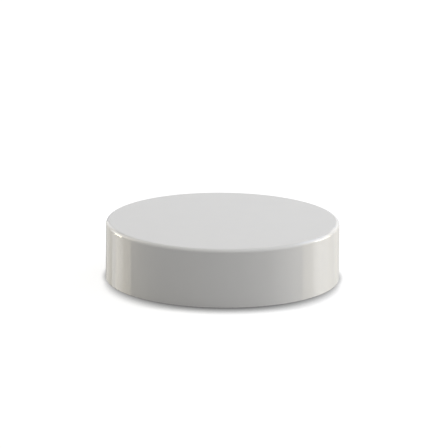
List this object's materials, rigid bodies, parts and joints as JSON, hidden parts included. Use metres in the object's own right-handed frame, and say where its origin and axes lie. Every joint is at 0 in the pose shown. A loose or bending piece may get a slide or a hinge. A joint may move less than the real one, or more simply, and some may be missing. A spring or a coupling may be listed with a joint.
{
  "type": "jar lid",
  "caption": "Round flat-topped screw lid for a wide-mouth jar, with a smooth skirt, an inner continuous thread and a foam sealing disc.",
  "frame": {"origin": "centre of the rim's lower face, on the surface that the lid stands on mouth down", "axes": "+Z is the lid's axis, from the mouth up through the flat top; the thread's lower end starts at +X and climbs towards +Y"},
  "size_m": [0.072, 0.072, 0.018],
  "materials": {
    "cap_plastic": "satin",
    "liner_foam": "matte"
  },
  "bodies": {
    "root": {"lid_shell": "cap_plastic", "liner": "liner_foam"}
  },
  "joints": []
}
